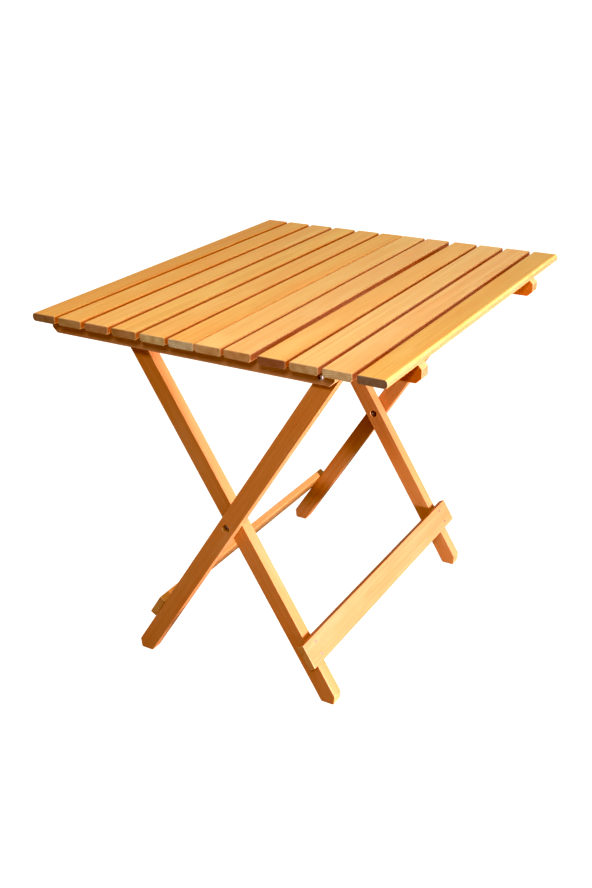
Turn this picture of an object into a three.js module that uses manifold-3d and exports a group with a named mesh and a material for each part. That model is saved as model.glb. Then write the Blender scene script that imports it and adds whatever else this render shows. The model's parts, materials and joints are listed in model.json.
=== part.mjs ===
// Folding slatted picnic table, in millimetres, +Z up.
//
// X runs across the slats, Y along them, and the origin is on the ground under the middle of the top.
// The top is two leaves of slats. The left leaf is screwed to two outer battens that turn on the tops
// of the outer legs; the right leaf is screwed to two inner battens that turn on the tops of the
// inner legs. The two leg frames are scissored on a bolt at each side. The leaves butt along the
// middle of the top, which stops the legs from spreading.

import * as THREE from 'three';
import { mergeVertices } from 'three/addons/utils/BufferGeometryUtils.js';
import Module from 'manifold-3d';

// Overall size
const TOP_WIDTH = 700;
const TOP_LENGTH = 800;
const TABLE_HEIGHT = 720;

// Slats
const SLAT_WIDTH = 52;
const SLAT_THICKNESS = 15;
const SLAT_EDGE_RADIUS = 5;
const LEAF_JOINT_GAP = 1;
// Gaps between the slats of each leaf, from left to right, set by hand as on the bench.
const LEFT_LEAF_GAPS = [7, 8, 8, 8, 6.5];
const RIGHT_LEAF_GAPS = [5, 12, 6, 7, 7.5];

// Stock of the legs and battens
const STOCK_WIDTH = 35;
const STOCK_THICKNESS = 24;
const TOUCH_GAP = 0.3;
const WASHER_THICKNESS = 1;
const WASHER_GAP = WASHER_THICKNESS + 2 * TOUCH_GAP;

// Outer faces of the side-by-side pieces, measured out from the middle of the table along Y
const OUTER_LEG_FACE = 327.2;
const OUTER_BATTEN_FACE = OUTER_LEG_FACE + WASHER_GAP + STOCK_THICKNESS;
const INNER_LEG_FACE = OUTER_LEG_FACE - STOCK_THICKNESS - WASHER_GAP;
const INNER_BATTEN_FACE = INNER_LEG_FACE - STOCK_THICKNESS - WASHER_GAP;

// Battens
const BATTEN_END_CHAMFER = 10;
const BATTEN_PAST_PIVOT = 26;

// Scissor crossing and leaf pivots
const CROSSING_X = -6;
const CROSSING_Z = 337;
const LEG_TOP_CLEARANCE = 4;
const PIVOT_HALF_SPREAD = 216;
const SLAT_UNDERSIDE = TABLE_HEIGHT - SLAT_THICKNESS;
const PIVOT_Z = SLAT_UNDERSIDE - LEG_TOP_CLEARANCE - STOCK_WIDTH / 2;
const PIVOT_RISE = PIVOT_Z - CROSSING_Z;
const PIVOT_LEAN = Math.atan2(PIVOT_HALF_SPREAD, PIVOT_RISE);
const CROSSING_TO_PIVOT = Math.hypot(PIVOT_HALF_SPREAD, PIVOT_RISE);

// The outer legs lean a little further than the inner ones. The leaf pivots keep one symmetric
// pattern about the crossing, so their holes are a few millimetres off the middle of each leg.
const OUTER_LEG_LEAN = THREE.MathUtils.degToRad(32.8);
const INNER_LEG_LEAN = THREE.MathUtils.degToRad(31.3);

// Feet: each leg ends flat on the ground, and its sharp toe is clipped
const FOOT_FLAT = 27;
const TOE_HEIGHT = 20;

// Stretchers
const STRETCHER_WIDTH = 50;
const STRETCHER_THICKNESS = 14;
const STRETCHER_BELOW_CROSSING = 282;

// M6 bolts and nuts, and the round recesses that take a head or a nut
const BOLT_RADIUS = 3;
const BOLT_HOLE_RADIUS = BOLT_RADIUS + TOUCH_GAP;
const HEAD_RADIUS = 5.5;
const HEAD_HEIGHT = 3.6;
const NUT_ACROSS_FLATS = 10;
const NUT_HEIGHT = 5;
const RECESS_RADIUS = 7.5;
const RECESS_DEPTH = 6.5;
const WASHER_OUTER_RADIUS = 9;

// Nails through the stretchers
const NAIL_RADIUS = 1.3;
const NAIL_HEAD_RADIUS = 2.8;
const NAIL_HEAD_HEIGHT = 1.2;
const NAIL_LENGTH = 40;
const NAIL_HALF_PITCH = 13;

const FRONT = -1;
const REAR = 1;
const SIDES = [['front', FRONT], ['rear', REAR]];

const ROUND_SEGMENTS = 20;
const NAIL_SEGMENTS = 12;
const ARC_SEGMENTS = 3;
const TOP_ARC_SEGMENTS = 8;

const wasm = await Module();
wasm.setup();

function beech(color) {
  return new THREE.MeshStandardMaterial({ color, roughness: 0.45, metalness: 0 });
}

const slatWood = beech(0xe8b068);
const battenWood = beech(0xa85a20);
const legWood = beech(0xd98a3a);
const stretcherWood = beech(0xf0bd78);
const zincSteel = new THREE.MeshStandardMaterial({ color: 0xb4b3ae, roughness: 0.35, metalness: 0.9 });

/** A manifold solid with the same shape as a closed geometry. */
function toSolid(geometry) {
  const bare = geometry.clone();
  bare.deleteAttribute('normal');
  bare.deleteAttribute('uv');
  const merged = mergeVertices(bare, 1e-4);
  const mesh = new wasm.Mesh({
    numProp: 3,
    vertProperties: new Float32Array(merged.attributes.position.array),
    triVerts: new Uint32Array(merged.index.array),
  });
  return new wasm.Manifold(mesh);
}

/** A geometry with the same shape as a manifold solid. */
function toGeometry(solid) {
  const mesh = solid.getMesh();
  const geometry = new THREE.BufferGeometry();
  geometry.setAttribute('position', new THREE.BufferAttribute(mesh.vertProperties, 3));
  geometry.setIndex(new THREE.BufferAttribute(mesh.triVerts, 1));
  geometry.computeVertexNormals();
  return geometry;
}

/** The geometry with every cutter taken out of it. */
function cut(geometry, cutters) {
  let solid = toSolid(geometry);
  for (const cutter of cutters) {
    solid = solid.subtract(toSolid(cutter));
  }
  return toGeometry(solid);
}

/** A board whose outline lies in XZ and whose thickness is centred on Y = 0. */
function board(outline, thickness, curveSegments = ARC_SEGMENTS) {
  const geometry = new THREE.ExtrudeGeometry(outline, {
    depth: thickness, steps: 1, bevelEnabled: false, curveSegments,
  });
  geometry.rotateX(Math.PI / 2);
  geometry.translate(0, thickness / 2, 0);
  return geometry;
}

/** A solid of revolution about Y from [radius, y] points that start and end on the axis. */
function turned(profile, segments = ROUND_SEGMENTS) {
  const points = profile.map(([radius, y]) => new THREE.Vector2(radius, y));
  return new THREE.LatheGeometry(points, segments);
}

/** A hole along Y through a board at y = 0, with a round recess in the face that looks to recessSide. */
function boltHoleCutter(x, z, recessSide) {
  const through = STOCK_THICKNESS;
  const shoulder = STOCK_THICKNESS / 2 - RECESS_DEPTH;
  const profile = [
    [0, -through],
    [BOLT_HOLE_RADIUS, -through],
    [BOLT_HOLE_RADIUS, shoulder],
    [RECESS_RADIUS, shoulder],
    [RECESS_RADIUS, through],
    [0, through],
  ];
  const cutter = turned(profile);
  if (recessSide === FRONT) {
    cutter.rotateZ(Math.PI);
  }
  cutter.translate(x, 0, z);
  return cutter;
}

/** A plain hole along Y through a board at y = 0. */
function plainHoleCutter(x, z) {
  const through = STOCK_THICKNESS;
  const radius = BOLT_HOLE_RADIUS;
  const cutter = turned([[0, -through], [radius, -through], [radius, through], [0, through]]);
  cutter.translate(x, 0, z);
  return cutter;
}

function addMesh(parent, name, geometry, material, x = 0, y = 0, z = 0) {
  const mesh = new THREE.Mesh(geometry, material);
  mesh.name = name;
  mesh.position.set(x, y, z);
  parent.add(mesh);
  return mesh;
}

// ---- Slats -------------------------------------------------------------------------------------

/** A slat's cross-section, a rectangle with rounded corners, centred on X = 0 and Z = 0. */
function slatOutline() {
  const x = SLAT_WIDTH / 2;
  const z = SLAT_THICKNESS / 2;
  const r = SLAT_EDGE_RADIUS;
  const quarter = Math.PI / 2;
  const outline = new THREE.Shape();
  outline.moveTo(x, -z + r);
  outline.absarc(x - r, z - r, r, 0, quarter);
  outline.absarc(-x + r, z - r, r, quarter, 2 * quarter);
  outline.absarc(-x + r, -z + r, r, 2 * quarter, 3 * quarter);
  outline.absarc(x - r, -z + r, r, 3 * quarter, 4 * quarter);
  return outline;
}

/** Adds one leaf's slats from the given left edge, numbered on from firstNumber. */
function addSlats(parent, leftEdge, gaps, firstNumber) {
  const z = TABLE_HEIGHT - SLAT_THICKNESS / 2;
  let x = leftEdge + SLAT_WIDTH / 2;
  for (let i = 0; i <= gaps.length; i += 1) {
    const number = String(firstNumber + i).padStart(2, '0');
    addMesh(parent, `slat_${number}`, board(slatOutline(), TOP_LENGTH), slatWood, x, 0, z);
    x += SLAT_WIDTH + (gaps[i] ?? 0);
  }
}

// ---- Battens -----------------------------------------------------------------------------------

/** A batten's side view from X = start to X = end, with both ends chamfered, centred on Z = 0. */
function battenOutline(start, end) {
  const z = STOCK_WIDTH / 2;
  const c = BATTEN_END_CHAMFER;
  const outline = new THREE.Shape();
  outline.moveTo(start, -z + c);
  outline.lineTo(start + c, -z);
  outline.lineTo(end - c, -z);
  outline.lineTo(end, -z + c);
  outline.lineTo(end, z - c);
  outline.lineTo(end - c, z);
  outline.lineTo(start + c, z);
  outline.lineTo(start, z - c);
  outline.closePath();
  return outline;
}

/** Adds a leaf's two battens, each with the hole that its pivot bolt passes through. */
function addBattens(parent, leafName, start, end, pivotX, outerFace) {
  const z = SLAT_UNDERSIDE - TOUCH_GAP - STOCK_WIDTH / 2;
  const middle = outerFace - STOCK_THICKNESS / 2;
  for (const [sideName, side] of SIDES) {
    const blank = board(battenOutline(start, end), STOCK_THICKNESS);
    const geometry = cut(blank, [plainHoleCutter(pivotX, PIVOT_Z - z)]);
    addMesh(parent, `${leafName}_batten_${sideName}`, geometry, battenWood, 0, side * middle, z);
  }
}

// ---- Leg frames --------------------------------------------------------------------------------

/**
 * A leg's outline with the scissor bolt at the origin and its length along Z. The top is round. The
 * foot is cut so that it lies flat on the ground when the leg leans its foot towards toeSide of X.
 */
function legOutline(toeSide, lean) {
  const half = STOCK_WIDTH / 2;
  const heelDepth = (CROSSING_Z - half * Math.sin(lean)) / Math.cos(lean);
  const toeDepth = (CROSSING_Z + half * Math.sin(lean) - TOE_HEIGHT) / Math.cos(lean);
  const flatAcross = FOOT_FLAT * Math.cos(lean);
  const flatDown = FOOT_FLAT * Math.sin(lean);
  const outline = new THREE.Shape();
  outline.moveTo(toeSide * half, -toeDepth);
  if (toeSide > 0) {
    outline.absarc(0, CROSSING_TO_PIVOT, half, 0, Math.PI, false);
  } else {
    outline.absarc(0, CROSSING_TO_PIVOT, half, Math.PI, 0, true);
  }
  outline.lineTo(-toeSide * half, -heelDepth);
  outline.lineTo(toeSide * (flatAcross - half), -heelDepth - flatDown);
  outline.closePath();
  return outline;
}

/** A nail along X, its head's outer face at x = 0 and its point towards -X, swollen all over by grown. */
function nail(grown = 0) {
  const head = NAIL_HEAD_RADIUS + grown;
  const shank = NAIL_RADIUS + grown;
  const tip = -NAIL_LENGTH - grown;
  const underHead = -NAIL_HEAD_HEIGHT - grown;
  const profile = [[0, tip], [shank, tip], [shank, underHead], [head, underHead], [head, grown], [0, grown]];
  const geometry = turned(profile, NAIL_SEGMENTS);
  geometry.rotateZ(-Math.PI / 2);
  return geometry;
}

/** Where a frame's nails go, in the frame's own axes. */
function nailPlaces(toeSide, legMiddle) {
  const x = toeSide * (STOCK_WIDTH / 2 + TOUCH_GAP + STRETCHER_THICKNESS);
  const places = [];
  for (const [sideName, side] of SIDES) {
    for (const [levelName, level] of [['upper', 1], ['lower', -1]]) {
      const z = -STRETCHER_BELOW_CROSSING + level * NAIL_HALF_PITCH;
      places.push({ label: `${sideName}_${levelName}`, side, x, y: side * legMiddle, z });
    }
  }
  return places;
}

/** Turns a nail made along -X so that it points from toeSide of X inwards, and moves it to its place. */
function setNail(geometry, toeSide, place, offsetY = 0) {
  if (toeSide < 0) {
    geometry.rotateZ(Math.PI);
  }
  geometry.translate(place.x, place.y - offsetY, place.z);
  return geometry;
}

/**
 * Adds a frame of two legs, a stretcher and its nails. The frame's own origin is the scissor
 * crossing, and the group's turn about Y sets the legs' lean. recesses gives, for the scissor bolt
 * and the leaf pivot, whether the leg's recess looks outwards (1) or inwards (-1).
 */
function addLegFrame(parent, frameName, toeSide, lean, legFace, recesses) {
  const frame = new THREE.Group();
  frame.position.set(CROSSING_X, 0, CROSSING_Z);
  frame.rotation.y = -toeSide * lean;
  parent.add(frame);

  const pivotOffset = -toeSide * CROSSING_TO_PIVOT * Math.sin(PIVOT_LEAN - lean);
  const pivotHeight = CROSSING_TO_PIVOT * Math.cos(PIVOT_LEAN - lean);

  const legMiddle = legFace - STOCK_THICKNESS / 2;
  const places = nailPlaces(toeSide, legMiddle);

  for (const [sideName, side] of SIDES) {
    const cutters = [
      boltHoleCutter(0, 0, side * recesses.scissor),
      boltHoleCutter(pivotOffset, pivotHeight, side * recesses.pivot),
    ];
    for (const place of places.filter((candidate) => candidate.side === side)) {
      cutters.push(setNail(nail(TOUCH_GAP), toeSide, place, side * legMiddle));
    }
    const blank = board(legOutline(toeSide, lean), STOCK_THICKNESS, TOP_ARC_SEGMENTS);
    addMesh(frame, `${frameName}_leg_${sideName}`, cut(blank, cutters), legWood, 0, side * legMiddle, 0);
  }

  const stretcher = new THREE.BoxGeometry(STRETCHER_THICKNESS, 2 * OUTER_LEG_FACE, STRETCHER_WIDTH);
  const stretcherX = toeSide * (STOCK_WIDTH / 2 + TOUCH_GAP + STRETCHER_THICKNESS / 2);
  stretcher.translate(stretcherX, 0, -STRETCHER_BELOW_CROSSING);
  const nailHoles = places.map((place) => setNail(nail(TOUCH_GAP), toeSide, place));
  addMesh(frame, `${frameName}_stretcher`, cut(stretcher, nailHoles), stretcherWood);

  for (const place of places) {
    addMesh(frame, `${frameName}_nail_${place.label}`, setNail(nail(), toeSide, place), zincSteel);
  }
}

// ---- Bolts, washers and nuts -------------------------------------------------------------------

/** A domed bolt along Y, the underside of its head at y = 0 and its shank towards +Y. */
function bolt(length) {
  const profile = [
    [0, -HEAD_HEIGHT],
    [0.45 * HEAD_RADIUS, -0.95 * HEAD_HEIGHT],
    [0.8 * HEAD_RADIUS, -0.7 * HEAD_HEIGHT],
    [HEAD_RADIUS, -0.25 * HEAD_HEIGHT],
    [HEAD_RADIUS, 0],
    [BOLT_RADIUS, 0],
    [BOLT_RADIUS, length],
    [0, length],
  ];
  return turned(profile);
}

/** A plain washer centred on the origin, flat across Y. */
function washer() {
  const half = WASHER_THICKNESS / 2;
  const profile = [
    [BOLT_HOLE_RADIUS, -half],
    [WASHER_OUTER_RADIUS, -half],
    [WASHER_OUTER_RADIUS, half],
    [BOLT_HOLE_RADIUS, half],
    [BOLT_HOLE_RADIUS, -half],
  ];
  return turned(profile);
}

/** A hexagon nut centred on the origin, its hole along Y. */
function nut() {
  const cornerRadius = NUT_ACROSS_FLATS / Math.sqrt(3);
  const corners = [];
  for (let i = 0; i < 6; i += 1) {
    const angle = (i * Math.PI) / 3;
    corners.push(new THREE.Vector2(cornerRadius * Math.cos(angle), cornerRadius * Math.sin(angle)));
  }
  const outline = new THREE.Shape(corners);
  const hole = new THREE.Path();
  hole.absarc(0, 0, BOLT_HOLE_RADIUS, 0, 2 * Math.PI, true);
  outline.holes.push(hole);
  return board(outline, NUT_HEIGHT, ROUND_SEGMENTS / 4);
}

/**
 * Adds a bolt, washer and nut at both sides of the table. The head's underside, the washer and the
 * middle of the nut are given as distances out from the middle of the table, and the bolt points
 * outwards when the nut lies further out than the head.
 */
function addFasteners(parent, setName, x, z, headAt, washerAt, nutAt) {
  const pointsOut = nutAt > headAt;
  const length = Math.abs(nutAt - headAt) + NUT_HEIGHT / 2;
  for (const [sideName, side] of SIDES) {
    const shank = bolt(length);
    const shankSide = pointsOut ? side : -side;
    if (shankSide < 0) {
      shank.rotateZ(Math.PI);
    }
    addMesh(parent, `${setName}_bolt_${sideName}`, shank, zincSteel, x, side * headAt, z);
    addMesh(parent, `${setName}_washer_${sideName}`, washer(), zincSteel, x, side * washerAt, z);
    addMesh(parent, `${setName}_nut_${sideName}`, nut(), zincSteel, x, side * nutAt, z);
  }
}

// ---- Assembly ----------------------------------------------------------------------------------

const group = new THREE.Group();

const leftPivotX = CROSSING_X + PIVOT_HALF_SPREAD;
const rightPivotX = CROSSING_X - PIVOT_HALF_SPREAD;

addSlats(group, -TOP_WIDTH / 2, LEFT_LEAF_GAPS, 1);
addSlats(group, LEAF_JOINT_GAP / 2, RIGHT_LEAF_GAPS, 1 + LEFT_LEAF_GAPS.length + 1);

const leftBattenEnd = leftPivotX + BATTEN_PAST_PIVOT;
const rightBattenEnd = rightPivotX - BATTEN_PAST_PIVOT;
addBattens(group, 'left', -TOP_WIDTH / 2, leftBattenEnd, leftPivotX, OUTER_BATTEN_FACE);
addBattens(group, 'right', rightBattenEnd, TOP_WIDTH / 2, rightPivotX, INNER_BATTEN_FACE);

addLegFrame(group, 'outer', -1, OUTER_LEG_LEAN, OUTER_LEG_FACE, { scissor: 1, pivot: -1 });
addLegFrame(group, 'inner', 1, INNER_LEG_LEAN, INNER_LEG_FACE, { scissor: -1, pivot: 1 });

// Scissor bolts: head sunk in the outer leg's outer face, nut sunk in the inner leg's inner face
const headInset = RECESS_DEPTH - TOUCH_GAP;
const nutInset = RECESS_DEPTH - TOUCH_GAP - NUT_HEIGHT / 2;
addFasteners(
  group, 'scissor', CROSSING_X, CROSSING_Z,
  OUTER_LEG_FACE - headInset,
  INNER_LEG_FACE + WASHER_GAP / 2,
  INNER_LEG_FACE - STOCK_THICKNESS + nutInset,
);

// Leaf pivot bolts: head on the batten's free face, nut sunk in the leg's other face
addFasteners(
  group, 'left_pivot', leftPivotX, PIVOT_Z,
  OUTER_BATTEN_FACE + TOUCH_GAP,
  OUTER_LEG_FACE + WASHER_GAP / 2,
  OUTER_LEG_FACE - STOCK_THICKNESS + nutInset,
);
addFasteners(
  group, 'right_pivot', rightPivotX, PIVOT_Z,
  INNER_BATTEN_FACE - STOCK_THICKNESS - TOUCH_GAP,
  INNER_BATTEN_FACE + WASHER_GAP / 2,
  INNER_LEG_FACE - nutInset,
);

export default group;
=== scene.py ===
import json
import math
import random

import bmesh
import bpy
import numpy as np
from mathutils import Matrix, Vector


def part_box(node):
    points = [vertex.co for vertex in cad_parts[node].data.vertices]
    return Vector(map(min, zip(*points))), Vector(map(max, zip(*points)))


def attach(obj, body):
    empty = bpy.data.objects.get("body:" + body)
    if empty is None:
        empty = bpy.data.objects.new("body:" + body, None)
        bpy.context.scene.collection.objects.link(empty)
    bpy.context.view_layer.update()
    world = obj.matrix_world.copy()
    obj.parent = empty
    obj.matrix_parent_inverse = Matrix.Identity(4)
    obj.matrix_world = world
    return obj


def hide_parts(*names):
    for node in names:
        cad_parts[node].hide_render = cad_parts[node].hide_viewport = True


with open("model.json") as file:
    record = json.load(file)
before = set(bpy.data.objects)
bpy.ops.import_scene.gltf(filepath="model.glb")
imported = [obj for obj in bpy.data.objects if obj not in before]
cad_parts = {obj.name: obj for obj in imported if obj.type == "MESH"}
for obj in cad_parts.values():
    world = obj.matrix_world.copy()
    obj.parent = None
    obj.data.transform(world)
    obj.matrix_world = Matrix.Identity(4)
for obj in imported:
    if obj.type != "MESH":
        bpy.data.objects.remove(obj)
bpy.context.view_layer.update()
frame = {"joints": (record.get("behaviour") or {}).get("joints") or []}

# Pieces are made in millimetres and brought to metres when they are placed. Materials, the camera,
# the floor and the lights are in metres.
MM = 0.001

# The two halves of the table, each with its sign along y
SIDES = (("front", -1), ("rear", 1))

# Dimensions repeated from the CAD source: a leaning leg's box doesn't give them
STOCK_WIDTH = 35.0
STOCK_THICKNESS = 24.0
TOUCH_GAP = 0.3
OUTER_LEG_LEAN = math.radians(32.8)
INNER_LEG_LEAN = math.radians(31.3)
FOOT_FLAT = 27.0
TOE_HEIGHT = 20.0
STRETCHER_WIDTH = 50.0
STRETCHER_THICKNESS = 14.0
STRETCHER_BELOW_CROSSING = 282.0
BATTEN_END_CHAMFER = 10.0
RECESS_RADIUS = 7.5
RECESS_DEPTH = 6.5
BOLT_RADIUS = 3.0
BOLT_HOLE_RADIUS = BOLT_RADIUS + TOUCH_GAP
HEAD_RADIUS = 5.5
HEAD_HEIGHT = 3.6
WASHER_RADIUS = 9.0
NUT_ACROSS_FLATS = 10.0
NAIL_RADIUS = 1.3
NAIL_HEAD_RADIUS = 2.8
NAIL_HEAD_HEIGHT = 1.2
NAIL_LENGTH = 40.0
NAIL_HALF_PITCH = 13.0

# Edges and corners that only show up close
SLAT_TOP_RADIUS = 3.0
SLAT_BOTTOM_RADIUS = 5.0
OUTER_SLAT_RADIUS = 6.5
SLAT_END_EDGE = 1.6
EASED_EDGE = 1.1
FOOT_CORNER_RADIUS = 4.0
CHAMFER_CORNER_RADIUS = 4.0
STRETCHER_EDGE_RADIUS = 1.6
HOLE_RIM = 0.5

# Slat screws, driven up through the battens
SCREW_LENGTH = 44.0
SCREW_RADIUS = 1.9
SCREW_CORE_RADIUS = 1.35
SCREW_PITCH = 1.8
SCREW_SHANK = 14.0
SCREW_TIP = 5.0
SCREW_HEAD_RADIUS = 3.7
SCREW_HEAD_DEPTH = 2.3
SCREW_HOLE_RADIUS = 2.0

# Bolts, nails and the room that they have in their holes
DOME_HEIGHT = 2.8
BOLT_TIP = 0.6
THREAD_DEPTH = 0.35
THREAD_PITCH = 1.0
THREADED_LENGTH = 14.0
NUT_COUNTERSINK = 0.5
NAIL_POINT = 4.0
NAIL_SEAT_DEPTH = NAIL_HEAD_HEIGHT + 0.2
HOLE_PLAY = 0.1

# Cross recesses: how far the arms reach, how wide they are and how deep the recess is
BOLT_CROSS = (2.7, 1.15, 2.3)
SCREW_CROSS = (2.1, 0.9, 1.7)

# A cutter's reach past the surface that it opens, and the depth of one that goes right through a piece
CUTTER_REACH = 3.0
THROUGH = 40.0

# Straight pieces around a circle, by how large it is, and around the half circle on top of a leg
ROUND_SEGMENTS = 40
SMALL_ROUND_SEGMENTS = 24
THIN_ROUND_SEGMENTS = 20
LEG_TOP_SEGMENTS = 24


def joint_place(name):
    """A joint's place across and above the ground, in millimetres."""
    joint = next(j for j in frame["joints"] if j["name"] == name)
    x, _, z = joint["pos_m"]
    return x / MM, z / MM


CROSSING_X, CROSSING_Z = joint_place("leg_fold")
PIVOT_X, PIVOT_Z = joint_place("left_leaf_pivot")
PIVOT_LEAN = math.atan2(PIVOT_X - CROSSING_X, PIVOT_Z - CROSSING_Z)
CROSSING_TO_PIVOT = math.hypot(PIVOT_X - CROSSING_X, PIVOT_Z - CROSSING_Z)


def cad_box(node):
    """A CAD node's lowest and highest corners in millimetres."""
    low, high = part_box(node)
    return low / MM, high / MM


# ---- Mesh tools --------------------------------------------------------------------------------


def filleted(corners, radius, steps=4):
    """A convex polygon's points with each corner rounded, by one radius or by a tuple of them."""
    radii = radius if isinstance(radius, tuple) else (radius,) * len(corners)
    points = []
    for i, (corner, radius) in enumerate(zip(corners, radii)):
        back = (corners[i - 1] - corner).normalized()
        ahead = (corners[(i + 1) % len(corners)] - corner).normalized()
        half_angle = back.angle(ahead) / 2
        centre = corner + (back + ahead).normalized() * (radius / math.sin(half_angle))
        reach = radius / math.tan(half_angle)
        first = corner + back * reach - centre
        last = corner + ahead * reach - centre
        turn = first.angle_signed(last)
        for k in range(steps + 1):
            points.append(centre + turned_by(first, -turn * k / steps))
    return points


def turned_by(vector, angle):
    """A 2D vector turned anticlockwise."""
    c, s = math.cos(angle), math.sin(angle)
    return Vector((c * vector.x - s * vector.y, s * vector.x + c * vector.y))


def inset(outline, distance):
    """A convex outline's points moved inwards, so that each side moves by the distance."""
    if distance == 0:
        return outline
    points = []
    for i, point in enumerate(outline):
        before = (point - outline[i - 1]).normalized()
        after = (outline[(i + 1) % len(outline)] - point).normalized()
        inward = Vector((-before.y - after.y, before.x + after.x)).normalized()
        cosine = inward.dot(Vector((-before.y, before.x)))
        points.append(point + inward * (distance / cosine))
    return points


def board(outline, thickness, ease=EASED_EDGE, steps=3):
    """A closed board: its anticlockwise outline in (x, z), its thickness along y, its edges eased."""
    angles = [math.pi / 2 * k / steps for k in range(steps + 1)]
    levels = [(ease * (1 - math.sin(a)), thickness / 2 - ease * (1 - math.cos(a))) for a in angles]
    levels = [(inward, -y) for inward, y in levels] + levels[::-1]
    bm = bmesh.new()
    loops = []
    for inward, y in levels:
        loops.append([bm.verts.new((p.x, y, p.y)) for p in inset(outline, inward)])
    count = len(outline)
    for one, other in zip(loops, loops[1:]):
        for i in range(count):
            j = (i + 1) % count
            bm.faces.new((one[i], one[j], other[j], other[i]))
    bm.faces.new(loops[0][::-1])
    bm.faces.new(loops[-1])
    bmesh.ops.recalc_face_normals(bm, faces=bm.faces)
    return bm


def add_turned(bm, profile, placement=None, segments=ROUND_SEGMENTS, closed=False):
    """
    Adds a solid turned about +z from (radius, z) points. It starts and ends on the axis, or is a
    ring if closed. A radius may be a function of the angle, as on a thread.
    """
    placement = placement or Matrix.Identity(4)
    loops = []
    for radius, z in profile:
        if radius == 0:
            loops.append([bm.verts.new(placement @ Vector((0, 0, z)))])
            continue
        loop = []
        for i in range(segments):
            angle = 2 * math.pi * i / segments
            r = radius(angle) if callable(radius) else radius
            loop.append(bm.verts.new(placement @ Vector((r * math.cos(angle), r * math.sin(angle), z))))
        loops.append(loop)
    pairs = list(zip(loops, loops[1:]))
    if closed:
        pairs.append((loops[-1], loops[0]))
    made = []
    for one, other in pairs:
        for i in range(segments):
            j = (i + 1) % segments
            corners = [one[k % len(one)] for k in (i, j)] + [other[k % len(other)] for k in (j, i)]
            made.append(bm.faces.new(list(dict.fromkeys(corners))))
    bmesh.ops.recalc_face_normals(bm, faces=made)


def pointing(origin, direction):
    """The placement that takes +z to the direction and the origin to its place."""
    turn = Vector((0, 0, 1)).rotation_difference(Vector(direction))
    return Matrix.Translation(origin) @ turn.to_matrix().to_4x4()


def object_from(bm, name):
    """A new object of that name, made from the mesh, which is freed."""
    mesh = bpy.data.meshes.new(name)
    bm.to_mesh(mesh)
    bm.free()
    obj = bpy.data.objects.new(name, mesh)
    bpy.context.scene.collection.objects.link(obj)
    return obj


def combine(obj, tool_bm, operation):
    """Cuts the tool out of obj, or keeps what they share, and throws the tool away."""
    tool = object_from(tool_bm, "tool")
    modifier = obj.modifiers.new("combine", "BOOLEAN")
    modifier.operation = operation
    modifier.solver = "EXACT"
    modifier.object = tool
    evaluated = obj.evaluated_get(bpy.context.evaluated_depsgraph_get())
    cut = bpy.data.meshes.new_from_object(evaluated)
    obj.modifiers.remove(modifier)
    obj.data = cut
    bpy.data.meshes.remove(tool.data)


def smooth(obj, sharp_above=38):
    """Smooth shading that keeps flat faces flat, and corners crisp from that many degrees up."""
    obj.data.shade_smooth()
    obj.data.set_sharp_from_angle(angle=math.radians(sharp_above))
    modifier = obj.modifiers.new("flat faces", "WEIGHTED_NORMAL")
    modifier.keep_sharp = True


def pin_profile(radius, bottom, top):
    """A plain pin."""
    return [(0, bottom), (radius, bottom), (radius, top), (0, top)]


# ---- Materials ---------------------------------------------------------------------------------


class Tree:
    """A short way to write a material's nodes."""

    def __init__(self, name):
        self.material = bpy.data.materials.new(name)
        self.material.use_nodes = True
        self.nodes = self.material.node_tree.nodes
        self.links = self.material.node_tree.links
        self.shader = self.nodes["Principled BSDF"]

    def feed(self, socket, value):
        if isinstance(value, bpy.types.NodeSocket):
            self.links.new(value, socket)
        else:
            socket.default_value = value

    def add(self, kind, inputs, output=0, **settings):
        node = self.nodes.new(kind)
        for name, value in settings.items():
            setattr(node, name, value)
        for key, value in inputs.items():
            self.feed(node.inputs[key], value)
        return node.outputs[output]

    def attribute(self, name, output="Vector"):
        return self.add("ShaderNodeAttribute", {}, output, attribute_name=name)

    def math(self, operation, a, b=0.0):
        return self.add("ShaderNodeMath", {0: a, 1: b}, operation=operation)

    def times(self, a, b):
        return self.math("MULTIPLY", a, b)

    def stretch(self, vector, scale):
        return self.add("ShaderNodeVectorMath", {0: vector, 1: scale}, operation="MULTIPLY")

    def noise(self, vector, scale, detail=2.0, output="Fac"):
        """
        Noise with that many cells to a metre along each axis. On wood these run across the grain,
        through the board and along the grain.
        """
        inputs = {"Vector": self.stretch(vector, scale), "Scale": 1.0, "Detail": detail}
        return self.add("ShaderNodeTexNoise", inputs, output)

    def span(self, value, low, high, to_low=0.0, to_high=1.0):
        """The value's way from low to high, as a way from to_low to to_high, and held at both ends."""
        inputs = {"Value": value, "From Min": low, "From Max": high, "To Min": to_low, "To Max": to_high}
        return self.add("ShaderNodeMapRange", inputs, clamp=True)

    def mix(self, factor, a, b, blend="MIX"):
        node = self.nodes.new("ShaderNodeMix")
        node.data_type = "RGBA"
        node.blend_type = blend
        self.feed(node.inputs["Factor"], factor)
        self.feed(next(s for s in node.inputs if s.name == "A" and s.type == "RGBA"), a)
        self.feed(next(s for s in node.inputs if s.name == "B" and s.type == "RGBA"), b)
        return next(s for s in node.outputs if s.type == "RGBA")

    def tinted(self, colour, tint):
        return self.mix(1.0, colour, tint, "MULTIPLY")

    def set(self, name, value):
        self.feed(self.shader.inputs[name], value)

    def bump(self, height, strength, distance):
        inputs = {"Height": height, "Strength": strength, "Distance": distance}
        self.set("Normal", self.add("ShaderNodeBump", inputs, "Normal"))


def rgb(red, green, blue):
    return (red, green, blue, 1.0)


RING_SPACING = 0.0031
RING_WANDER = 0.016

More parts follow.
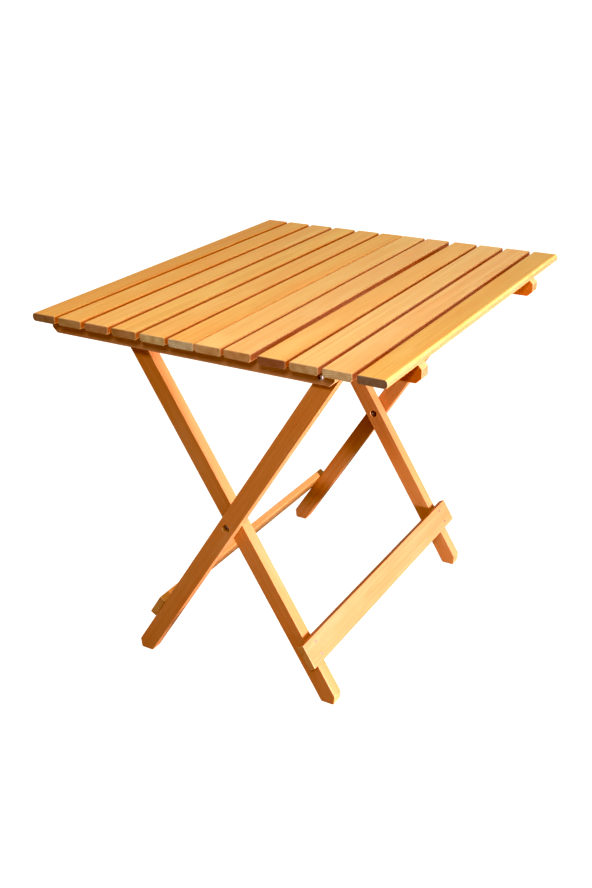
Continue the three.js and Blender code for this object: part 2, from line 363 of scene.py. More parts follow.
# Beech along the grain
PALE_STREAK = rgb(0.81, 0.545, 0.22)
DEEP_STREAK = rgb(0.735, 0.435, 0.15)
LATE_WOOD = rgb(0.60, 0.29, 0.078)
WARM_BLOTCH = rgb(0.80, 0.40, 0.128)
PALE_BLOTCH = rgb(0.81, 0.60, 0.28)
RAY_FLECK = rgb(0.40, 0.17, 0.047)
RUBBED_EDGE = rgb(0.86, 0.60, 0.30)

# Beech across the grain
PALE_END = rgb(0.62, 0.41, 0.20)
STAINED_END = rgb(0.47, 0.28, 0.12)
END_LATE_WOOD = rgb(0.30, 0.155, 0.06)
PORE = rgb(0.20, 0.10, 0.045)
END_EDGE = rgb(0.80, 0.56, 0.29)

CLEAN_ZINC = rgb(0.35, 0.34, 0.32)
CLOUDED_ZINC = rgb(0.23, 0.23, 0.23)


def growth_rings(tree, grain):
    """0 in a ring's early wood, rising to 1 in its late wood. grain is measured from the log's heart."""
    wander = tree.noise(grain, (9.0, 9.0, 0.9), detail=3.0, output="Color")
    centred = tree.add("ShaderNodeVectorMath", {0: wander, 1: (0.5, 0.5, 0.5)}, operation="SUBTRACT")
    drift = tree.stretch(centred, (RING_WANDER, RING_WANDER, 0.0))
    drifted = tree.add("ShaderNodeVectorMath", {0: grain, 1: drift}, operation="ADD")
    across = tree.stretch(drifted, (1.0, 1.0, 0.0))
    distance = tree.add("ShaderNodeVectorMath", {0: across}, "Value", operation="LENGTH")
    phase = tree.math("FRACT", tree.math("DIVIDE", distance, RING_SPACING))
    rise = tree.span(phase, 0.1, 0.92)
    fall = tree.span(phase, 0.93, 1.0, 1.0, 0.0)
    return tree.times(tree.math("POWER", rise, 2.0), fall)


def flecks(tree, grain):
    """The short dark ray flecks that mark beech, about 2 mm long on its long faces."""
    inputs = {"Vector": tree.stretch(grain, (1000.0, 1000.0, 260.0)), "Scale": 1.0}
    distance = tree.add("ShaderNodeTexVoronoi", inputs, "Distance")
    inside = tree.span(distance, 0.16, 0.30, 1.0, 0.0)
    crowd = tree.noise(grain, (60.0, 60.0, 12.0))
    return tree.times(inside, tree.span(crowd, 0.45, 0.62))


def side_colour(tree, grain, rings, fibre, fleck):
    """Streaks and blotches, with late wood, fibres and ray flecks over them."""
    streak = tree.noise(grain, (170.0, 170.0, 2.4), detail=4.0)
    blotch = tree.noise(grain, (26.0, 26.0, 5.0), detail=3.0)
    colour = tree.mix(tree.span(streak, 0.25, 0.80), PALE_STREAK, DEEP_STREAK)
    colour = tree.mix(tree.times(rings, 0.24), colour, LATE_WOOD)
    colour = tree.mix(tree.span(blotch, 0.52, 0.74, 0.0, 0.55), colour, WARM_BLOTCH)
    colour = tree.mix(tree.span(blotch, 0.46, 0.26, 0.0, 0.50), colour, PALE_BLOTCH)
    shade = tree.span(fibre, 0.25, 0.75, 0.92, 1.05)
    colour = tree.tinted(colour, tree.add("ShaderNodeCombineXYZ", {0: shade, 1: shade, 2: shade}))
    colour = tree.mix(tree.times(fleck, 0.42), colour, RAY_FLECK)
    # The tint attribute holds each piece's tint with its painted light and shade, and the painted shade
    # of slats' narrow sides
    return tree.tinted(colour, tree.attribute("tint", "Color"))


def beech_side(name):
    """Lacquered beech along the grain, rubbed paler at its edges."""
    tree = Tree(name)
    grain = tree.attribute("grain")
    rings = growth_rings(tree, grain)
    fibre = tree.noise(grain, (1500.0, 1500.0, 22.0), detail=3.0)
    fleck = flecks(tree, grain)
    rubbed = tree.noise(grain, (70.0, 70.0, 30.0), detail=3.0)
    wear = tree.times(tree.attribute("edge", "Fac"), tree.span(rubbed, 0.42, 0.66, 0.0, 0.28))
    colour = side_colour(tree, grain, rings, fibre, fleck)
    tree.set("Base Color", tree.mix(wear, colour, RUBBED_EDGE))
    gloss = tree.span(fibre, 0.2, 0.8, 0.34, 0.46)
    tree.set("Roughness", tree.math("ADD", gloss, tree.times(wear, 0.25)))
    tree.set("Coat Weight", 0.22)
    tree.set("Coat Roughness", 0.24)
    relief = tree.math("ADD", tree.times(fibre, 0.6), tree.times(rings, 0.35))
    relief = tree.math("SUBTRACT", relief, tree.times(fleck, 0.5))
    tree.bump(relief, 0.35, 0.0003)
    return tree.material


def beech_end(name):
    """Sawn beech across the grain: rings in arcs, open pores and faint saw lines."""
    tree = Tree(name)
    grain = tree.attribute("grain")
    rings = growth_rings(tree, grain)
    pores = tree.noise(grain, (2600.0, 2600.0, 400.0))
    saw = tree.noise(grain, (30.0, 2200.0, 30.0))
    stain = tree.noise(grain, (90.0, 90.0, 90.0), detail=3.0)
    colour = tree.mix(tree.span(stain, 0.35, 0.70), PALE_END, STAINED_END)
    colour = tree.mix(tree.times(rings, 0.55), colour, END_LATE_WOOD)
    colour = tree.mix(tree.span(pores, 0.52, 0.72, 0.0, 0.5), colour, PORE)
    # The end tint holds painted light and shade as well as the end grain's own tone
    colour = tree.tinted(colour, tree.attribute("end_tint", "Color"))
    wear = tree.times(tree.attribute("edge", "Fac"), 0.35)
    tree.set("Base Color", tree.mix(wear, colour, END_EDGE))
    tree.set("Roughness", tree.span(pores, 0.3, 0.7, 0.50, 0.68))
    tree.set("Coat Weight", 0.06)
    tree.set("Coat Roughness", 0.35)
    relief = tree.math("SUBTRACT", tree.times(saw, 0.8), tree.times(pores, 0.7))
    tree.bump(relief, 0.4, 0.0003)
    return tree.material


def zinc(name):
    """Zinc plated steel: cloudy, with fine handling scratches."""
    tree = Tree(name)
    place = tree.add("ShaderNodeTexCoord", {}, "Object")
    cloud = tree.noise(place, (900.0, 900.0, 900.0), detail=3.0)
    scratch = tree.noise(place, (400.0, 9000.0, 9000.0))
    tree.set("Base Color", tree.mix(tree.span(cloud, 0.35, 0.65), CLEAN_ZINC, CLOUDED_ZINC))
    tree.set("Metallic", 1.0)
    tree.set("Roughness", tree.span(scratch, 0.35, 0.65, 0.50, 0.66))
    tree.bump(scratch, 0.2, 0.00005)
    return tree.material


SIDE_WOOD = beech_side("lacquered beech")
END_WOOD = beech_end("beech end grain")
STEEL = zinc("zinc plated steel")


# ---- Wooden pieces -----------------------------------------------------------------------------

# A face shows end grain if its normal has more than this along the grain
END_GRAIN_FROM = 0.6


def store(mesh, name, kind, values, domain="POINT"):
    """Keeps one value to a point or a corner: a FLOAT, a FLOAT_VECTOR or a FLOAT_COLOR."""
    attribute = mesh.attributes.new(name, kind, domain)
    field = {"FLOAT": "value", "FLOAT_VECTOR": "vector", "FLOAT_COLOR": "color"}[kind]
    attribute.data.foreach_set(field, np.ascontiguousarray(values, np.float32).ravel())


def read_points(mesh, field):
    """A vector of every point, as rows."""
    values = np.empty(len(mesh.vertices) * 3, np.float32)
    mesh.vertices.foreach_get(field, values)
    return values.reshape(-1, 3)


def roundness(mesh, normals):
    """At each corner of each face, 0 on flat faces and up to 1 in the middle of a rounded edge."""
    # The largest part of a normal is 1 on a flat face and falls to 0.71 halfway around an edge
    around = np.clip((1 - normals.max(axis=1)) / 0.25, 0, 1)
    values = np.zeros(len(mesh.loops), np.float32)
    for face in mesh.polygons:
        if max(abs(part) for part in face.normal) < 0.998:
            for corner in face.loop_indices:
                values[corner] = around[mesh.loops[corner].vertex_index]
    return values


def dress_wood(obj, axes, tints, side_painted_shade=(1.0, 1.0, 1.0)):
    """
    Gives a wooden piece its materials and what they read. axes are the piece's own axes across the
    grain, through the board and along the grain, and obj is still in its own frame, in millimetres.
    tints, which hold painted light and shade too, multiply its colour along and across the grain, and a
    painted shade for the gaps between slats multiplies that of its narrow sides.
    """
    mesh = obj.data
    count = len(mesh.vertices)
    points = read_points(mesh, "co")[:, axes] * MM
    normals = np.abs(read_points(mesh, "normal")[:, axes])

    # Each piece is sawn from a place of its own beside the heart of the log, in metres
    draw = random.Random(obj.name)
    heart = (draw.uniform(-0.05, 0.05), draw.uniform(0.03, 0.12), draw.uniform(0.0, 9.0))
    store(mesh, "grain", "FLOAT_VECTOR", points + np.array(heart))
    store(mesh, "edge", "FLOAT", roundness(mesh, normals), "CORNER")
    # Painted shade: a slat's narrow sides are darkened for the shade in the gaps between slats
    sideness = normals[:, :1] ** 2
    tint_with_painted_shade = np.array(tints[0]) * (1 + sideness * (np.array(side_painted_shade) - 1))
    store(mesh, "tint", "FLOAT_COLOR", np.hstack((tint_with_painted_shade, np.ones((count, 1)))))
    store(mesh, "end_tint", "FLOAT_COLOR", np.tile((*tints[1], 1.0), (count, 1)))

    mesh.materials.clear()
    mesh.materials.append(SIDE_WOOD)
    mesh.materials.append(END_WOOD)
    for face in mesh.polygons:
        along_grain = abs(face.normal[axes[2]])
        face.material_index = int(along_grain > END_GRAIN_FROM)


def place_piece(obj, placement, body, node):
    """Brings a piece to metres and to its place, puts it under its body and hides the CAD node that it
    replaces.
    """
    obj.data.transform(Matrix.Scale(MM, 4) @ placement)
    smooth(obj)
    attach(obj, body)
    if node:
        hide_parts(node)


def rectangle(width, height):
    """The corners of a rectangle about the origin, from its bottom left."""
    x, z = width / 2, height / 2
    return [Vector(p) for p in ((-x, -z), (x, -z), (x, z), (-x, z))]


# What each piece's colour along the grain, and then across it, is multiplied by. Boards of one batch
# differ, and the photograph's light differs along the top too, so these tints are partly the boards'
# own tone and partly painted light: the slats are lighter or darker where light falls on them, and
# the legs and battens are darker as painted shade of faces that get less light.
SLAT_TINTS_AND_PAINTED_LIGHT = {
    1: ((0.93, 0.85, 0.53), (0.46, 0.52, 0.73)),
    2: ((1.00, 0.96, 0.67), (0.67, 0.76, 0.92)),
    3: ((1.01, 1.03, 0.86), (0.63, 0.64, 0.83)),
    4: ((1.01, 1.07, 0.85), (0.60, 0.64, 0.79)),
    5: ((1.01, 1.03, 0.87), (0.80, 1.08, 1.40)),
    6: ((1.01, 1.01, 0.78), (0.79, 1.16, 1.81)),
    7: ((1.02, 1.10, 1.05), (0.75, 0.83, 1.05)),
    8: ((1.01, 1.07, 1.11), (0.75, 0.79, 0.96)),
    9: ((1.02, 1.05, 0.94), (0.40, 0.36, 0.53)),
    10: ((1.02, 1.15, 1.25), (0.71, 0.86, 1.11)),
    11: ((1.02, 1.08, 1.17), (0.78, 1.04, 1.47)),
    12: ((0.93, 0.96, 0.74), (0.30, 0.40, 0.68)),
}
# Darker than the slats as painted shade of the legs' less lit faces
LEG_TINTS_AND_PAINTED_SHADE = ((0.60, 0.47, 0.54), (0.70, 0.65, 0.62))
# Painted shade: the battens under the slats are darker, the right leaf's most
BATTEN_TINTS_AND_PAINTED_SHADE = {
    "left": ((0.50, 0.49, 0.80), (0.66, 0.56, 0.54)),
    "right": ((0.51, 0.31, 0.26), (0.64, 0.51, 0.49)),
}
STRETCHER_TINTS = {
    "outer": ((0.62, 0.58, 0.62), (0.80, 0.76, 0.72)),
    "inner": ((0.57, 0.45, 0.56), (0.80, 0.76, 0.72)),
}

# Painted shade: what the colour of a slat's narrow sides is multiplied by, to be as deep as in the
# photograph's gaps; it also darkens the outer slats' lit outer sides
SLAT_SIDE_PAINTED_SHADE = (0.68, 0.45, 0.74)

# Each leaf's slats, numbered from the left, and its pivot's place; the pivots mirror each other
SLAT_COUNT = 12
LEAVES = {
    "left": {"numbers": range(1, 7), "pivot_x": PIVOT_X},
    "right": {"numbers": range(7, SLAT_COUNT + 1), "pivot_x": 2 * CROSSING_X - PIVOT_X},
}


def centre_and_size(node):
    """A CAD node's middle and its extents, in millimetres."""
    low, high = cad_box(node)
    return (low + high) / 2, high - low


def centre_of(node):
    return centre_and_size(node)[0]


def slat_radii(number):
    """The radii of a slat's corners from its bottom left; the top's own edges are the roundest."""
    low, high, outer = SLAT_BOTTOM_RADIUS, SLAT_TOP_RADIUS, OUTER_SLAT_RADIUS
    if number == 1:
        return outer, low, high, outer
    if number == SLAT_COUNT:
        return low, outer, outer, high
    return low, low, high, high


def make_slat(leaf, number):
    """A slat of the top, with the blind holes for its two screws."""
    node = f"slat_{number:02d}"
    centre, size = centre_and_size(node)
    outline = filleted(rectangle(size.x, size.z), slat_radii(number), steps=6)
    slat = object_from(board(outline, size.y, SLAT_END_EDGE), f"beech_{node}")
    holes = bmesh.new()
    depth = SCREW_LENGTH - STOCK_WIDTH
    hole = pin_profile(SCREW_HOLE_RADIUS, -depth, CUTTER_REACH)
    for side_name, _ in SIDES:
        y = centre_of(f"{leaf}_batten_{side_name}").y - centre.y
        add_turned(holes, hole, pointing((0, y, -size.z / 2), (0, 0, -1)), THIN_ROUND_SEGMENTS)
    combine(slat, holes, "DIFFERENCE")
    dress_wood(slat, (0, 2, 1), SLAT_TINTS_AND_PAINTED_LIGHT[number], SLAT_SIDE_PAINTED_SHADE)
    place_piece(slat, Matrix.Translation(centre), f"{leaf}_leaf", node)


def batten_outline(width, height):
    """A batten from its front: all four corners are cut off, and what is left is rounded."""
    x, z, c = width / 2, height / 2, BATTEN_END_CHAMFER
    corners = (
        (-x + c, -z), (x - c, -z), (x, -z + c), (x, z - c),
        (x - c, z), (-x + c, z), (-x, z - c), (-x, -z + c),
    )
    return filleted([Vector(p) for p in corners], CHAMFER_CORNER_RADIUS)


def screw_hole_profile():
    """A batten's countersunk hole for a slat screw, its mouth at z = 0."""
    hole, head = SCREW_HOLE_RADIUS, SCREW_HEAD_RADIUS + HOLE_PLAY
    profile = [(0, -THROUGH), (hole, -THROUGH), (hole, -SCREW_HEAD_DEPTH)]
    return profile + [(head, 0), (head, CUTTER_REACH), (0, CUTTER_REACH)]


def make_batten(leaf, side_name):
    """A batten under a leaf, with its pivot's bolt hole and its six screw holes."""
    node = f"{leaf}_batten_{side_name}"
    centre, size = centre_and_size(node)
    batten = object_from(board(batten_outline(size.x, size.z), size.y), f"beech_{node}")
    holes = bmesh.new()
    pivot = (LEAVES[leaf]["pivot_x"] - centre.x, -size.y / 2, PIVOT_Z - centre.z)
    bolt_hole = pin_profile(BOLT_HOLE_RADIUS, -THROUGH, CUTTER_REACH)
    add_turned(holes, bolt_hole, pointing(pivot, (0, -1, 0)))
    for number in LEAVES[leaf]["numbers"]:
        x = centre_of(f"slat_{number:02d}").x - centre.x
        mouth = pointing((x, 0, -size.z / 2), (0, 0, -1))
        add_turned(holes, screw_hole_profile(), mouth, SMALL_ROUND_SEGMENTS)
    combine(batten, holes, "DIFFERENCE")
    dress_wood(batten, (2, 1, 0), BATTEN_TINTS_AND_PAINTED_SHADE[leaf])
    place_piece(batten, Matrix.Translation(centre), f"{leaf}_leaf", node)


# Each leg frame: the side of x its feet are on, its lean, and whether its legs' recesses look
# outwards (1) or inwards (-1)
FRAMES = {
    "outer": {"toe": -1, "lean": OUTER_LEG_LEAN, "scissor_recess": 1, "pivot_recess": -1},
    "inner": {"toe": 1, "lean": INNER_LEG_LEAN, "scissor_recess": -1, "pivot_recess": 1},
}

# The stretcher nails' places along a leg, measured upwards from the crossing
NAIL_LEVELS = (
    ("upper", NAIL_HALF_PITCH - STRETCHER_BELOW_CROSSING),
    ("lower", -NAIL_HALF_PITCH - STRETCHER_BELOW_CROSSING),
)


def frame_placement(facts):
    """Takes an upright leg frame with its crossing at the origin to its place, leaning."""
    lean = Matrix.Rotation(-facts["toe"] * facts["lean"], 4, "Y")
    return Matrix.Translation((CROSSING_X, 0, CROSSING_Z)) @ lean


def leg_outline(toe_side, lean):
    """A leg's outline with the scissor bolt at the origin, as in the CAD source."""
    half = STOCK_WIDTH / 2
    heel_depth = (CROSSING_Z - half * math.sin(lean)) / math.cos(lean)
    toe_depth = (CROSSING_Z + half * math.sin(lean) - TOE_HEIGHT) / math.cos(lean)
    across = FOOT_FLAT * math.cos(lean)
    down = FOOT_FLAT * math.sin(lean)
    foot = ((-half, -heel_depth), (across - half, -heel_depth - down), (half, -toe_depth))
    corners = [Vector(p) for p in (*foot, (half, 0), (-half, 0))]
    points = [p for p in filleted(corners, FOOT_CORNER_RADIUS) if p.y < -half]
    for k in range(LEG_TOP_SEGMENTS + 1):
        angle = math.pi * k / LEG_TOP_SEGMENTS
        points.append(Vector((half * math.cos(angle), CROSSING_TO_PIVOT + half * math.sin(angle))))
    if toe_side < 0:
        points = [Vector((-p.x, p.y)) for p in reversed(points)]
    return points


def bolt_hole_profile():
    """A leg's bolt hole, with a round recess at z = 0 whose rim is eased at 45 degrees."""
    rim = RECESS_RADIUS + HOLE_RIM
    profile = [(0, -THROUGH), (BOLT_HOLE_RADIUS, -THROUGH), (BOLT_HOLE_RADIUS, -RECESS_DEPTH)]
    profile += [(RECESS_RADIUS, -RECESS_DEPTH), (RECESS_RADIUS, -HOLE_RIM), (rim, 0)]
    return profile + [(rim + CUTTER_REACH, CUTTER_REACH), (0, CUTTER_REACH)]


def leg_holes(facts, side):
    """
    The cutters of a leg: two recessed bolt holes and the stretcher nails' holes. The leaf pivots
    mirror each other and the legs' leans differ, so a pivot's hole is beside its leg's middle.
    """
    toe = facts["toe"]
    slant = PIVOT_LEAN - facts["lean"]
    pivot_x, pivot_z = -toe * CROSSING_TO_PIVOT * math.sin(slant), CROSSING_TO_PIVOT * math.cos(slant)
    places = ((0.0, 0.0, facts["scissor_recess"]), (pivot_x, pivot_z, facts["pivot_recess"]))
    holes = bmesh.new()
    for x, z, recess in places:
        face = side * recess
        mouth = pointing((x, face * STOCK_THICKNESS / 2, z), (0, face, 0))
        add_turned(holes, bolt_hole_profile(), mouth)
    depth = NAIL_LENGTH - STRETCHER_THICKNESS
    nail_hole = pin_profile(NAIL_RADIUS + HOLE_PLAY, -depth, CUTTER_REACH)
    for _, z in NAIL_LEVELS:
        mouth = pointing((toe * STOCK_WIDTH / 2, 0, z), (toe, 0, 0))
        add_turned(holes, nail_hole, mouth, THIN_ROUND_SEGMENTS)
    return holes


def make_leg(frame_name, side_name, side):
    """A leg with a rounded top and a flat foot."""
    facts = FRAMES[frame_name]
    node = f"{frame_name}_leg_{side_name}"
    middle = centre_of(node).y
    leg = object_from(board(leg_outline(facts["toe"], facts["lean"]), STOCK_THICKNESS), f"beech_{node}")
    combine(leg, leg_holes(facts, side), "DIFFERENCE")
    dress_wood(leg, (0, 1, 2), LEG_TINTS_AND_PAINTED_SHADE)
    placement = Matrix.Translation((0, middle, 0)) @ frame_placement(facts)
    place_piece(leg, placement, f"{frame_name}_legs", node)


def nail_hole_profile():
    """A stretcher's hole for a nail, with a seat for the nail's head just under z = 0."""
    head, shank = NAIL_HEAD_RADIUS + 0.12, NAIL_RADIUS + HOLE_PLAY
    profile = [(0, -THROUGH), (shank, -THROUGH), (shank, -NAIL_SEAT_DEPTH), (head, -NAIL_SEAT_DEPTH)]
    return profile + [(head, -0.1), (head + 0.2, CUTTER_REACH), (0, CUTTER_REACH)]


def make_stretcher(frame_name):
    """The board nailed across a frame's two legs."""
    facts = FRAMES[frame_name]
    toe = facts["toe"]
    node = f"{frame_name}_stretcher"
    _, size = centre_and_size(node)
    outline = filleted(rectangle(STRETCHER_THICKNESS, STRETCHER_WIDTH), STRETCHER_EDGE_RADIUS)
    stretcher = object_from(board(outline, size.y), f"beech_{node}")
    holes = bmesh.new()
    for side_name, _ in SIDES:
        y = centre_of(f"{frame_name}_leg_{side_name}").y
        for _, z in NAIL_LEVELS:
            origin = (toe * STRETCHER_THICKNESS / 2, y, z + STRETCHER_BELOW_CROSSING)
            add_turned(holes, nail_hole_profile(), pointing(origin, (toe, 0, 0)), SMALL_ROUND_SEGMENTS)
    combine(stretcher, holes, "DIFFERENCE")
    dress_wood(stretcher, (2, 0, 1), STRETCHER_TINTS[frame_name])
    offset = toe * (STOCK_WIDTH / 2 + TOUCH_GAP + STRETCHER_THICKNESS / 2)
    placement = frame_placement(facts) @ Matrix.Translation((offset, 0, -STRETCHER_BELOW_CROSSING))
    place_piece(stretcher, placement, f"{frame_name}_legs", node)


# ---- Hardware ----------------------------------------------------------------------------------


def cross_cutter(reach, width, depth):
    """A cross recess from z = 0 down to +depth, narrowing as it goes in."""
    bm = bmesh.new()
    w = width / 2
    corner = ((reach, w), (w, w), (w, reach))
    outline = []
    for quarter in range(4):
        turn = Matrix.Rotation(quarter * math.pi / 2, 3, "Z")
        outline += [turn @ Vector((x, y, 0)) for x, y in corner]
    narrowed = 0.35
    levels = ((-1.0, 1.0), (0.0, 1.0), (depth, narrowed))
    loops = [[bm.verts.new((p.x * s, p.y * s, z)) for p in outline] for z, s in levels]
    count = len(outline)
    for one, other in zip(loops, loops[1:]):
        for i in range(count):
            j = (i + 1) % count
            bm.faces.new((one[i], one[j], other[j], other[i]))
    bm.faces.new(loops[0])
    bm.faces.new(loops[-1][::-1])
    bmesh.ops.recalc_face_normals(bm, faces=bm.faces)
    return bm


def thread(radius, depth, pitch, start, end):
    """Profile rings of a thread from z = start to end, six to a turn."""
    rings = []
    steps = round((end - start) / pitch * 6)
    for k in range(steps + 1):
        z = start + (end - start) * k / steps

        def at(angle, z=z):
            phase = (z / pitch - angle / (2 * math.pi)) % 1.0
            return radius - depth * abs(2 * phase - 1)

        rings.append((at, z))
    return rings


def dome(radius, height, steps=7):
    """A domed head's profile from its top at z = 0 to its full radius."""
    angles = [math.pi / 2 * k / steps for k in range(steps + 1)]
    return [(radius * math.sin(a), height * (1 - math.cos(a))) for a in angles]


def steel_piece(obj, placement, body, node):
    """Gives a piece the steel's finish and puts it in its place."""
    obj.data.materials.clear()
    obj.data.materials.append(STEEL)
    place_piece(obj, placement, body, node)


def make_bolt(set_name, side_name, outwards, body):
    """A domed bolt with a cross recess. outwards is the side of Y its head looks to."""
    node = f"{set_name}_bolt_{side_name}"
    low, high = cad_box(node)
    total = high.y - low.y
    under, ease = HEAD_HEIGHT, 0.2
    profile = dome(HEAD_RADIUS, DOME_HEIGHT)
    profile += [(HEAD_RADIUS, under - ease), (HEAD_RADIUS - ease, under), (BOLT_RADIUS, under)]
    profile += thread(BOLT_RADIUS, THREAD_DEPTH, THREAD_PITCH, total - THREADED_LENGTH, total - BOLT_TIP)
    profile += [(BOLT_RADIUS - BOLT_TIP, total), (0, total)]
    bm = bmesh.new()
    add_turned(bm, profile)
    bolt = object_from(bm, f"steel_{node}")
    combine(bolt, cross_cutter(*BOLT_CROSS), "DIFFERENCE")
    x, z = (low.x + high.x) / 2, (low.z + high.z) / 2
    tip = high.y if outwards > 0 else low.y
    steel_piece(bolt, pointing((x, tip, z), (0, -outwards, 0)), body, node)


def make_washer(set_name, side_name, body):
    """A flat washer with eased rims."""
    node = f"{set_name}_washer_{side_name}"
    centre, size = centre_and_size(node)
    half = size.y / 2
    inner, outer, ease = BOLT_HOLE_RADIUS, WASHER_RADIUS, 0.15
    profile = [
        (inner + ease, -half), (outer - ease, -half), (outer, ease - half), (outer, half - ease),
        (outer - ease, half), (inner + ease, half), (inner, half - ease), (inner, ease - half),
    ]
    bm = bmesh.new()
    add_turned(bm, profile, closed=True)
    steel_piece(object_from(bm, f"steel_{node}"), pointing(centre, (0, 1, 0)), body, node)


def nut_rounding(half):
    """What a nut shares with its hexagon: a disc coned at both ends, which takes off the corners."""
    flat = NUT_ACROSS_FLATS / 2
    corner = NUT_ACROSS_FLATS / math.sqrt(3)
    drop = (corner - flat) * 0.8
    end_radius = flat * 0.96
    end, widest = half + 0.01, corner + 0.02
    profile = [(0, -end), (end_radius, -end), (widest, drop - half)]
    return profile + [(widest, half - drop), (end_radius, end), (0, end)]


def nut_bore(half):
    """The cutter of a nut's bore, countersunk at both ends."""
    bore = BOLT_RADIUS + 0.05
    wide = bore + NUT_COUNTERSINK
    rim = half - NUT_COUNTERSINK
    profile = [(0, -half - 1), (wide + 1, -half - 1), (wide, -half), (bore, -rim)]
    return profile + [(bore, rim), (wide, half), (wide + 1, half + 1), (0, half + 1)]


def make_nut(set_name, side_name, body):
    """A hexagon nut, its corners chamfered at both ends and its bore countersunk."""
    node = f"{set_name}_nut_{side_name}"
    centre, size = centre_and_size(node)
    half = size.y / 2
    bm = bmesh.new()
    add_turned(bm, pin_profile(NUT_ACROSS_FLATS / math.sqrt(3), -half, half), segments=6)
    nut = object_from(bm, f"steel_{node}")
    # Where a cutter's points fall on the hexagon's corners the cut leaves the mesh open, so it is turned
    askew = Matrix.Rotation(math.radians(2), 4, "Z")
    for profile, operation in ((nut_rounding(half), "INTERSECT"), (nut_bore(half), "DIFFERENCE")):
        cutter = bmesh.new()
        add_turned(cutter, profile, askew)
        combine(nut, cutter, operation)
    steel_piece(nut, pointing(centre, (0, 1, 0)), body, node)


def make_nail(frame_name, side_name, level_name, z):
    """A flat-headed nail through a stretcher into a leg."""
    facts = FRAMES[frame_name]
    toe = facts["toe"]
    node = f"{frame_name}_nail_{side_name}_{level_name}"
    head, under = NAIL_HEAD_RADIUS, NAIL_HEAD_HEIGHT
    profile = [(0, 0.06), (head * 0.7, 0.02), (head - 0.25, 0), (head, 0.25), (head, under - 0.2)]
    profile += [(NAIL_RADIUS + 0.3, under), (NAIL_RADIUS, under + 0.4)]
    profile += [(NAIL_RADIUS, NAIL_LENGTH - NAIL_POINT), (0, NAIL_LENGTH)]
    bm = bmesh.new()
    add_turned(bm, profile, segments=SMALL_ROUND_SEGMENTS)
    x = toe * (STOCK_WIDTH / 2 + TOUCH_GAP + STRETCHER_THICKNESS)
    y = centre_of(f"{frame_name}_leg_{side_name}").y
    placement = frame_placement(facts) @ pointing((x, y, z), (-toe, 0, 0))
    steel_piece(object_from(bm, f"steel_{node}"), placement, f"{frame_name}_legs", node)


def make_screw(leaf, number, side_name):
    """A countersunk wood screw from a batten's underside up into a slat."""
    batten = f"{leaf}_batten_{side_name}"
    shank, core = SCREW_RADIUS * 0.8, SCREW_CORE_RADIUS * 0.8
    depth = SCREW_RADIUS - SCREW_CORE_RADIUS
    threaded_end = SCREW_LENGTH - SCREW_TIP
    profile = [(0, 0), (SCREW_HEAD_RADIUS - 0.1, 0), (SCREW_HEAD_RADIUS, 0.15)]
    profile += [(shank, SCREW_HEAD_DEPTH), (shank, SCREW_SHANK)]
    profile += thread(SCREW_RADIUS, depth, SCREW_PITCH, SCREW_SHANK + 0.5, threaded_end)
    profile += [(core, SCREW_LENGTH - SCREW_TIP / 2), (0, SCREW_LENGTH)]
    bm = bmesh.new()
    add_turned(bm, profile, segments=THIN_ROUND_SEGMENTS)
    screw = object_from(bm, f"slat_screw_{number:02d}_{side_name}")
    combine(screw, cross_cutter(*SCREW_CROSS), "DIFFERENCE")
    low, _ = cad_box(batten)
    place = (centre_of(f"slat_{number:02d}").x, centre_of(batten).y, low.z)
    steel_piece(screw, pointing(place, (0, 0, 1)), f"{leaf}_leaf", None)


# ---- Assembly ----------------------------------------------------------------------------------

for leaf_name, leaf_facts in LEAVES.items():
    for slat_number in leaf_facts["numbers"]:
        make_slat(leaf_name, slat_number)
    for side_label, _ in SIDES:
        make_batten(leaf_name, side_label)
        for slat_number in leaf_facts["numbers"]:
            make_screw(leaf_name, slat_number, side_label)

for frame_label in FRAMES:
    make_stretcher(frame_label)
    for side_label, side_sign in SIDES:
        make_leg(frame_label, side_label, side_sign)
        for level_label, level in NAIL_LEVELS:
            make_nail(frame_label, side_label, level_label, level)

# Each set of fasteners: its body, and whether its heads look outwards (1) or inwards (-1)
FASTENERS = {
    "scissor": ("outer_legs", 1),
    "left_pivot": ("left_leaf", 1),
    "right_pivot": ("right_leaf", -1),
}
for set_label, (body_name, head_out) in FASTENERS.items():
    for side_label, side_sign in SIDES:
        make_bolt(set_label, side_label, side_sign * head_out, body_name)
        make_washer(set_label, side_label, body_name)
        make_nut(set_label, side_label, body_name)


# ---- Camera, floor and light, in metres --------------------------------------------------------

LIT_POINT = Vector((0, 0, 0.45))
FLOOR_HALF_WIDTH = 60
FLOOR_DROP = 0.0005


def direction(azimuth, elevation):
    """The way from the table to something at that azimuth and elevation, in degrees."""
    a, e = math.radians(azimuth), math.radians(elevation)
    return Vector((math.sin(a) * math.cos(e), -math.cos(a) * math.cos(e), math.sin(e)))


def make_camera(azimuth, elevation, roll, lens, location):
    """The camera, looking back along that direction, with its angles in degrees and its lens in mm."""
    back = direction(azimuth, elevation)
    right = Vector((math.cos(math.radians(azimuth)), math.sin(math.radians(azimuth)), 0))
    up = back.cross(right)
    r = math.radians(roll)
    x_axis = math.cos(r) * right + math.sin(r) * up
    y_axis = -math.sin(r) * right + math.cos(r) * up
    turn = Matrix((x_axis, y_axis, back)).transposed()
    data = bpy.data.cameras.new("camera")
    data.sensor_width = 36
    data.lens = lens
    data.clip_start, data.clip_end = 0.05, 120
    camera = bpy.data.objects.new("camera", data)
    camera.matrix_world = Matrix.Translation(location) @ turn.to_4x4()
    bpy.context.scene.collection.objects.link(camera)
    bpy.context.scene.camera = camera


def make_softbox(name, location, size, power, colour, shines=True):
    """
    A round soft light turned to the middle of the table. Unless it shines, it lights surfaces but
    isn't mirrored in them.
    """
    data = bpy.data.lights.new(name, "AREA")
    data.shape = "DISK"
    data.size = size
    data.energy = power
    data.color = colour
    light = bpy.data.objects.new(name, data)
    light.location = Vector(location)
    light.rotation_mode = "QUATERNION"
    light.rotation_quaternion = (LIT_POINT - light.location).to_track_quat("-Z", "Y")
    light.visible_glossy = shines
    bpy.context.scene.collection.objects.link(light)


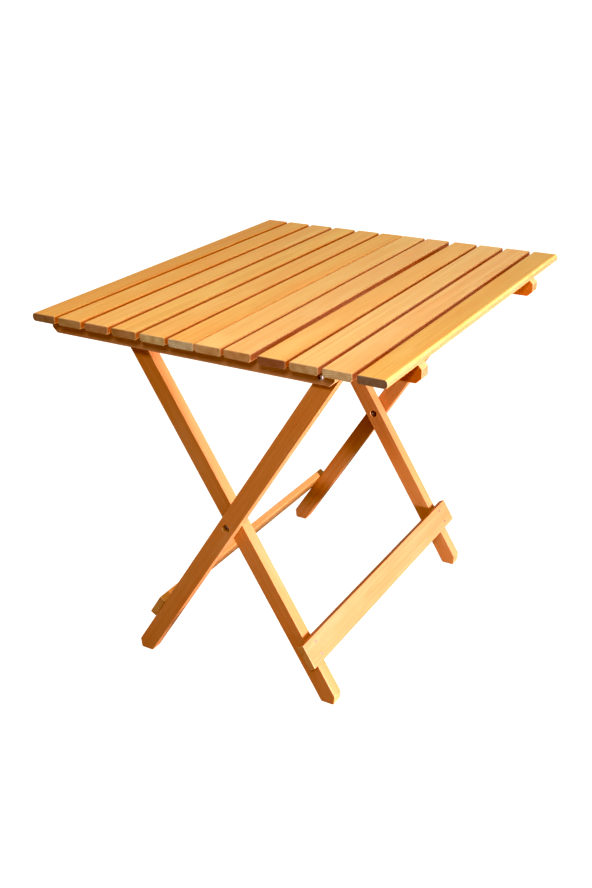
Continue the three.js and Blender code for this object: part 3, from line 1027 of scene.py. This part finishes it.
def floor_material(name):
    """Pale, glowing to the camera alone, and clear from below so that it hides nothing."""
    tree = Tree(name)
    tree.set("Base Color", rgb(0.36, 0.31, 0.24))
    tree.set("Roughness", 0.9)
    tree.set("Emission Color", rgb(1.0, 1.0, 1.0))
    place = tree.add("ShaderNodeTexCoord", {}, "Object")
    away = tree.add("ShaderNodeVectorMath", {0: place}, "Value", operation="LENGTH")
    glow = tree.span(away, 1.5, 6.0, 0.92, 1.2)
    seen = tree.add("ShaderNodeLightPath", {}, "Is Camera Ray")
    tree.set("Emission Strength", tree.times(glow, seen))
    from_below = tree.add("ShaderNodeNewGeometry", {}, "Backfacing")
    tree.set("Alpha", tree.math("SUBTRACT", 1.0, from_below))
    return tree.material


def make_floor():
    """The floor under the table, which is staging and no part of it."""
    bm = bmesh.new()
    bmesh.ops.create_grid(bm, x_segments=1, y_segments=1, size=FLOOR_HALF_WIDTH)
    bmesh.ops.translate(bm, verts=bm.verts, vec=(0, 0, -FLOOR_DROP))
    floor = object_from(bm, "floor")
    floor.data.materials.append(floor_material("pale floor"))


def make_world(strength, seen_strength):
    """An even white light from all around, which the camera sees at a strength of its own."""
    world = bpy.data.worlds.new("studio")
    world.use_nodes = True
    nodes, links = world.node_tree.nodes, world.node_tree.links
    background = nodes["Background"]
    background.inputs["Color"].default_value = rgb(1.0, 1.0, 1.0)
    choice = nodes.new("ShaderNodeMapRange")
    choice.inputs["To Min"].default_value = strength
    choice.inputs["To Max"].default_value = seen_strength
    links.new(nodes.new("ShaderNodeLightPath").outputs["Is Camera Ray"], choice.inputs["Value"])
    links.new(choice.outputs["Result"], background.inputs["Strength"])
    bpy.context.scene.world = world


def set_exposure():
    """A firm contrast like the photograph's, with the deepest shades let down to black."""
    view = bpy.context.scene.view_settings
    view.view_transform = "Standard"
    view.gamma = 0.85
    view.use_curve_mapping = True
    view.curve_mapping.black_level = (0.015, 0.052, 0.058)
    view.curve_mapping.update()


make_camera(azimuth=30.70, elevation=24.93, roll=-0.98, lens=43.26, location=(0.9790, -1.7277, 1.2998))
make_floor()
make_world(strength=0.46, seen_strength=1.2)
# The side light is lower than the top, so it brightens the legs and the edges and leaves the top alone
make_softbox("side light", (3.2, -0.29, 0.38), size=0.5, power=345, colour=(1.0, 0.79, 0.84))
make_softbox("front light", (1.0, -1.95, 1.75), size=0.25, power=33, colour=(1.0, 0.78, 0.60))
make_softbox("top light", (0.4, -0.7, 2.4), size=1.2, power=20, colour=(1.0, 0.78, 0.76))
make_softbox("back light", (0.8, 2.2, 1.6), size=1.0, power=22, colour=(1.0, 0.76, 0.38), shines=False)
set_exposure()
